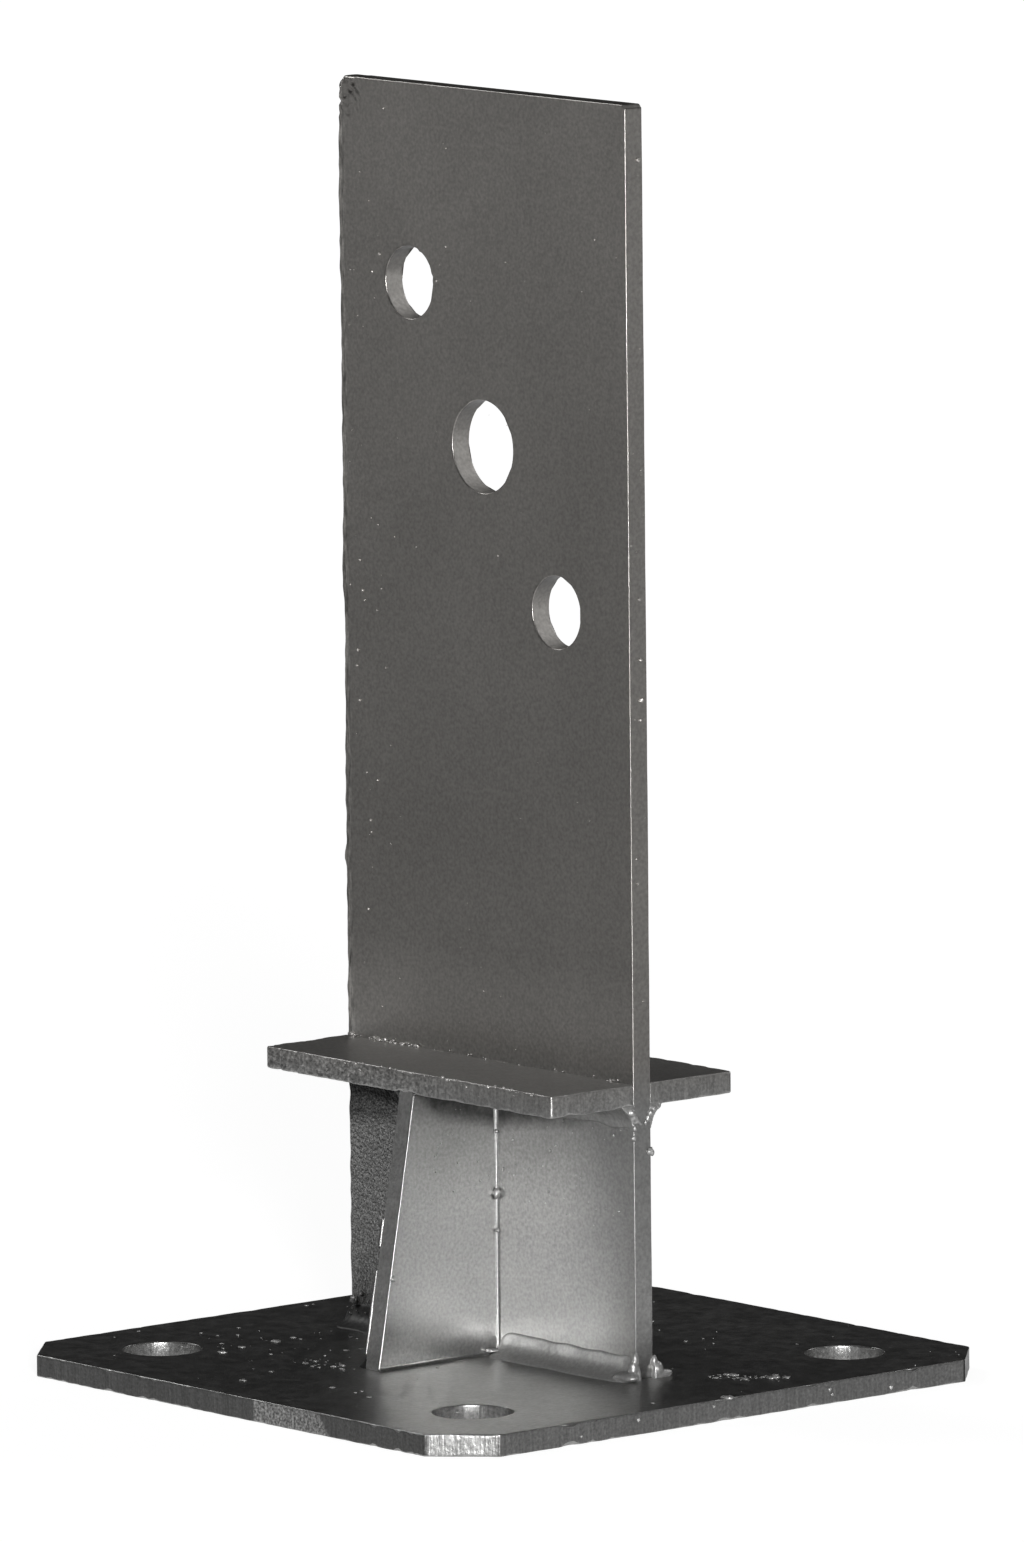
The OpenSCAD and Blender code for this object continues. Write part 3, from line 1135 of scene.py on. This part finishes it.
def make_lights():
    aim = Vector(LIGHTS_AIM) * MM
    for name, azimuth, height, distance, level, size in LIGHTS:
        lamp = bpy.data.lights.new(name, "AREA")
        lamp.shape = "DISK"
        lamp.size = size * MM
        lamp.energy = level * math.pi * (distance * MM) ** 2
        obj = bpy.data.objects.new(name, lamp)
        flat = math.cos(math.radians(height))
        way = Vector((
            math.cos(math.radians(azimuth)) * flat,
            math.sin(math.radians(azimuth)) * flat,
            math.sin(math.radians(height)),
        ))
        obj.location = aim + way * distance * MM
        obj.rotation_euler = (-way).to_track_quat("-Z", "Y").to_euler()
        obj.visible_camera = False
        bpy.context.scene.collection.objects.link(obj)


def make_camera():
    camera = bpy.data.cameras.new("camera")
    camera.sensor_fit = "HORIZONTAL"
    camera.sensor_width = SENSOR_WIDTH
    camera.lens = CAMERA_LENS
    camera.clip_start = CAMERA_CLIP[0] * MM
    camera.clip_end = CAMERA_CLIP[1] * MM
    obj = bpy.data.objects.new("camera", camera)
    turn = Matrix.Rotation(math.radians(CAMERA_PAN), 4, "Z")
    turn @= Matrix.Rotation(math.radians(CAMERA_TILT), 4, "X")
    turn @= Matrix.Rotation(math.radians(CAMERA_ROLL), 4, "Z")
    obj.matrix_world = Matrix.Translation(Vector(CAMERA_PLACE) * MM) @ turn
    bpy.context.scene.collection.objects.link(obj)
    bpy.context.scene.camera = obj


def make_plates():
    """The six plates, each with a paint for its faces and one for its cut edges."""
    # The upright faces carry painted shadow under the seat and painted light and shade
    upright = make_paint("painted_upright_face", dry_spray_and_shade=True)
    cut = make_paint("painted_cut_edge", CUT_STRIAE)
    torn = make_paint("painted_torn_edge", CUT_STRIAE, torn=True)
    seat_face = make_paint("painted_seat_face")
    mill_edge = make_paint("painted_mill_edge")
    # Painted light: a lighter copy of the paint for the gussets' slope edges
    lit_slope_edge = make_paint("painted_lit_slope_edge")
    base_face = make_paint("painted_base_face", rim_tint=BASE_RIM_TINT)
    hole_wall = make_paint("painted_hole_wall", hole=True)
    finish_piece(make_base([base_face, cut]), ["base_plate"])
    finish_piece(make_knife([upright, mill_edge, hole_wall]), ["knife_plate"])
    for seed, side in ((41.0, "front"), (47.0, "rear")):
        node = "seat_plate_" + side
        seat = make_seat("painted_seat_" + side, node, [seat_face, torn], seed)
        finish_piece(seat, [node])
    for seed, side, way in ((51.0, "front", -1), (57.0, "rear", 1)):
        node = "gusset_" + side
        gusset = make_gusset("painted_gusset_" + side, node, way, [upright, lit_slope_edge], seed)
        finish_piece(gusset, [node])


# Drops that the photo shows one by one: x, y, z, radius, the axis of their surface
FRONT_DROPS = (
    (1.9, -2.9, 41.5, 1.05, "y"), (2.2, -5.1, 6.0, 1.0, "z"), (1.9, -2.9, 55.6, 0.4, "y"),
    (2.0, -2.9, 33.0, 0.4, "y"), (-49.3, -2.6, 10.6, 1.0, "y"), (-46.7, -2.6, 12.2, 0.5, "y"),
    (-41.6, -2.6, 16.0, 0.6, "y"), (1.5, -33.1, 25.5, 0.7, "x"), (49.1, 2.2, 56.0, 0.85, "x"),
    (49.0, -2.6, 59.5, 0.55, "x"), (43.3, -2.6, 65.4, 0.6, "y"), (49.1, 1.2, 277.6, 0.5, "x"),
    (49.1, 0.4, 179.9, 0.35, "x"), (49.1, 0.6, 166.5, 0.4, "x"), (49.1, 0.7, 157.5, 0.5, "x"),
    (49.1, 0.4, 153.1, 0.35, "x"), (-50.4, -1.6, 71.9, 0.8, "y"), (-48.8, -2.8, 71.9, 0.6, "y"),
    (-44.4, -2.6, 180.6, 0.25, "y"), (-43.5, -2.6, 173.8, 0.3, "y"), (-42.8, -2.6, 171.6, 0.2, "y"),
    (-45.5, -2.6, 160.0, 0.3, "y"), (-45.9, -2.6, 156.5, 0.25, "y"), (-45.0, -2.6, 148.6, 0.25, "y"),
    (-38.9, -2.6, 131.0, 0.25, "y"), (-41.5, -2.6, 121.6, 0.25, "y"), (-36.3, -2.6, 250.6, 0.3, "y"),
    (80.0, -6.4, 3.6, 0.4, "x"), (80.0, 28.3, 2.0, 0.4, "x"), (80.0, 27.6, 3.2, 0.45, "x"),
    (80.0, 45.8, 1.4, 0.5, "x"), (80.0, -28.4, 3.3, 0.45, "x"), (80.0, -44.9, 1.7, 0.35, "x"),
    (79.4, -1.9, 5.0, 0.9, "z"), (-44.3, -29.7, 5.0, 0.75, "z"), (-43.8, -40.1, 5.0, 0.6, "z"),
    (-41.8, -47.6, 5.0, 0.7, "z"), (-45.6, -23.8, 5.0, 0.5, "z"), (-10.8, -66.6, 5.0, 0.6, "z"),
    (9.8, -57.8, 5.0, 0.5, "z"), (24.8, -59.5, 5.0, 0.45, "z"),
)

# Random drops: seed, number, the patch's lowest and highest corner, the axis of its
# surface, and the least and greatest radius
FRONT_SCATTER = (
    (3, 14, (55.5, 12, 5), (61, 18, 5.1), "z", (0.15, 0.7)),
    (19, 16, (61.5, 14, 5), (67, 20, 5.1), "z", (0.15, 0.7)),
    (20, 14, (64.5, 20, 5), (70, 26, 5.1), "z", (0.15, 0.75)),
    (4, 50, (-60, -44, 5), (-4, -12, 5.1), "z", (0.08, 0.42)),
    (18, 26, (-22, -45, 5), (-4, -37, 5.1), "z", (0.1, 0.5)),
    (5, 70, (-78, -78, 5), (78, 78, 5.1), "z", (0.1, 0.35)),
    (14, 60, (-52, -4.2, 5), (-10, -2.6, 9), "y", (0.15, 0.6)),
    (15, 46, (-20, -26.6, 71.1), (44, -26.2, 71.6), "y", (0.12, 0.42)),
    (16, 14, (-50, -26.6, 68), (44, -26.5, 71), "y", (0.1, 0.3)),
    (6, 26, (-48, -2.6, 74), (-34, -2.5, 288), "y", (0.1, 0.28)),
    (7, 44, (-48, -2.6, 74), (48, -2.5, 286), "y", (0.08, 0.2)),
    (8, 40, (3, -2.6, 38), (46, -2.5, 61), "y", (0.08, 0.3)),
    (9, 22, (1.5, -22, 40), (1.55, -4, 64), "x", (0.08, 0.28)),
    (10, 18, (49, -2.0, 60), (49.05, 2.0, 286), "x", (0.1, 0.3)),
    (11, 26, (-49, -2.9, 71.5), (44, -2.6, 72.1), "y", (0.12, 0.4)),
    (17, 34, (-49.5, -3.3, 71.5), (-24, -2.6, 72.1), "y", (0.12, 0.42)),
)
REAR_SCATTER = (
    (12, 40, (-48, 2.5, 12), (46, 2.6, 64), "y", (0.1, 0.4)),
    (13, 30, (-48, 2.5, 74), (48, 2.6, 284), "y", (0.08, 0.25)),
)

# Runs of a fine burr up the left edge of each gusset's slope, from and to in height, and
# the sizes of the burr and of the paint's lines up the knife plate, on the base and
# under the seat
BURR_RUNS = ((8.0, 27.0), (32.0, 38.5))
BURR_SIZE = 0.14
SEAM_UP = 0.75
SEAM_ON_BASE = 0.9
SEAM_UNDER_SEAT = 0.5


def make_corner_details():
    """Lines of paint in the gussets' bare corners, and fine burrs up their slopes."""
    paint = make_paint("painted_corner")
    left = gusset_low[0]
    right = gusset_high[0]
    wall = knife_high[1]
    under = gusset_high[2]
    toe = gusset_high[1] - gusset_low[1] + wall
    lip = abs(seat_low[1])
    slope = (toe - lip) / (under - BASE_TOP)
    for side, sign, out in (("front", -1, "-y"), ("rear", 1, "+y")):
        root = (right, sign * wall, BASE_TOP)
        head = (right, sign * wall, under)
        seams = [
            (root, head, "+x", out, SEAM_UP),
            (root, (right, sign * toe, BASE_TOP), "+x", "+z", SEAM_ON_BASE),
            (head, (right, sign * lip, under), "+x", "-z", SEAM_UNDER_SEAT),
        ]
        for low, high in BURR_RUNS:
            start = (left, sign * (toe - slope * (low - BASE_TOP)), low)
            end = (left, sign * (toe - slope * (high - BASE_TOP)), high)
            seams.append((start, end, "+x", out, BURR_SIZE))
        make_seams("paint_seams_" + side, seams, paint)


def make_all_spatter():
    """The drops that the photo shows, and random ones among them and behind."""
    paint = make_paint("painted_spatter")
    for side, drops, patches in (
        ("front", FRONT_DROPS, FRONT_SCATTER),
        ("rear", (), REAR_SCATTER),
    ):
        drops = list(drops)
        for patch in patches:
            drops += scatter(*patch)
        make_spatter("spatter_" + side, drops, paint)


# Weld metal that runs round the knife plate's right edge: centre and half-axes
WRAPS = {
    "weld_seat_front_right": (
        ((49.0, -2.9, 65.2), (0.7, 0.9, 0.9)), ((49.0, -2.2, 64.2), (0.65, 0.8, 0.9)),
        ((49.0, -1.3, 63.3), (0.5, 0.7, 0.8)), ((49.0, -0.5, 62.6), (0.35, 0.5, 0.6)),
        ((49.1, -2.3, 61.7), (0.6, 0.6, 0.85)),
    ),
    "weld_seat_rear_right": (
        ((49.0, 4.5, 66.0), (0.7, 0.9, 0.6)), ((49.0, 3.3, 65.5), (0.7, 0.8, 0.8)),
        ((49.1, 2.4, 64.7), (0.6, 0.65, 0.9)), ((49.1, 1.7, 63.7), (0.5, 0.55, 0.9)),
        ((49.1, 0.9, 62.7), (0.35, 0.45, 0.8)),
    ),
    "weld_foot_front_right": (
        ((49.1, -2.8, 9.6), (0.85, 0.9, 1.7)), ((49.0, -3.1, 7.4), (1.2, 1.4, 2.0)),
        ((48.6, -5.0, 5.9), (3.6, 2.2, 1.1)),
    ),
    "weld_foot_rear_right": (
        ((49.1, 2.8, 8.3), (0.8, 0.8, 1.8)), ((49.4, 3.4, 6.8), (1.3, 1.5, 1.8)),
        ((49.4, 5.2, 5.6), (1.3, 2.6, 1.1)),
    ),
}

# Each side's beads: where, along which axis, its two arms (out is away from the knife
# plate), its ends, its style, its seed, and whether it takes the darker, painted-shade copy
# of the bead paint
BEADS = (
    ("weld_foot_{}_right", "+x", "out", "+z", ("round", "round"), SMOOTH_STYLE, 3, False),
    ("weld_foot_{}_left", "+x", "out", "+z", ("round", "round"), HOLLOW_STYLE, 13, True),
    ("weld_seat_{}_right", "+x", "out", "-z", ("round", "butt"), HOLLOW_STYLE, 23, False),
    ("weld_seat_{}_left", "+x", "out", "-z", ("butt", "round"), HOLLOW_STYLE, 33, True),
    ("weld_gusset_foot_{}", "out", "-x", "+z", ("round", "round"), RIPPLED_STYLE, 43, True),
    ("weld_gusset_head_{}", "out", "-x", "-z", ("round", "round"), RIPPLED_STYLE, 53, True),
    ("weld_gusset_side_{}", "+z", "-x", "out", ("butt", "butt"), RIPPLED_STYLE, 63, True),
)


def make_beads():
    """All weld beads; those on the shaded left take a darker copy of the paint, painted shade."""
    paint = make_paint("painted_weld_bead")
    shaded_bead_paint = make_paint("painted_shaded_bead")
    for side, out in (("front", "-y"), ("rear", "+y")):
        for name, *ways, ends, style, seed, in_shade in BEADS:
            ways = [out if way == "out" else way for way in ways]
            node = name.format(side)
            material = shaded_bead_paint if in_shade else paint
            wraps = WRAPS.get(node, ())
            make_bead(node, *ways, ends, style, seed + len(side), material, wraps)


bpy.context.scene.view_settings.view_transform = "Standard"
make_camera()
make_world()
make_lights()
make_floor()
make_plates()
make_beads()
make_corner_details()
make_all_spatter()

bpy.context.view_layer.update()
